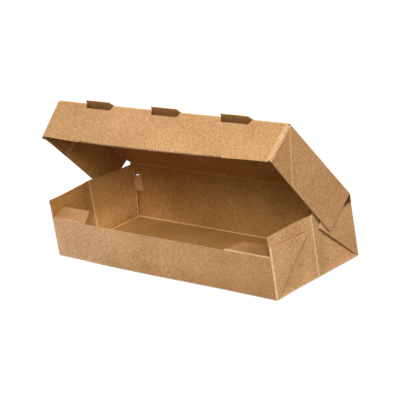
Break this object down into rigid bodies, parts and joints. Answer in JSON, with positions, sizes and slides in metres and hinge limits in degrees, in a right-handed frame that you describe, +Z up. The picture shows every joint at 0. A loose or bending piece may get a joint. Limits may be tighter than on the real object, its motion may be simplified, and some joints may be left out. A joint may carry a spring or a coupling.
{
  "type": "takeaway box",
  "caption": "Oblong kraft card takeaway box with folded corner webs, a cut-down front wall with corner flaps, and a hinged lid with vents, standing open.",
  "frame": {"origin": "middle of the tray's underside", "axes": "+X along the front edge, +Y from the front wall to the hinge at the back, +Z up"},
  "size_m": [0.2586, 0.1002, 0.1344],
  "materials": {
    "tray_card": "uncoated brown kraft card",
    "lid_card": "uncoated brown kraft card",
    "flap_card": "uncoated brown kraft card"
  },
  "bodies": {
    "tray": {"tray": "tray_card"},
    "lid": {"lid": "lid_card"},
    "left_flap": {"left_corner_flap": "flap_card"},
    "right_flap": {"right_corner_flap": "flap_card"}
  },
  "joints": [
    {"name": "lid_hinge", "type": "hinge", "parent": "tray", "child": "lid", "pos_m": [0, 0.04975, 0.0525], "axis": [-1, 0, 0], "range_deg": [-51, 129]},
    {"name": "left_flap_fold", "type": "hinge", "parent": "tray", "child": "left_flap", "pos_m": [-0.1035, -0.04975, 0.0349], "axis": [1, 0, 0], "range_deg": [-65, 70]},
    {"name": "right_flap_fold", "type": "hinge", "parent": "tray", "child": "right_flap", "pos_m": [0.0995, -0.04975, 0.0349], "axis": [1, 0, 0], "range_deg": [-53, 82]}
  ]
}
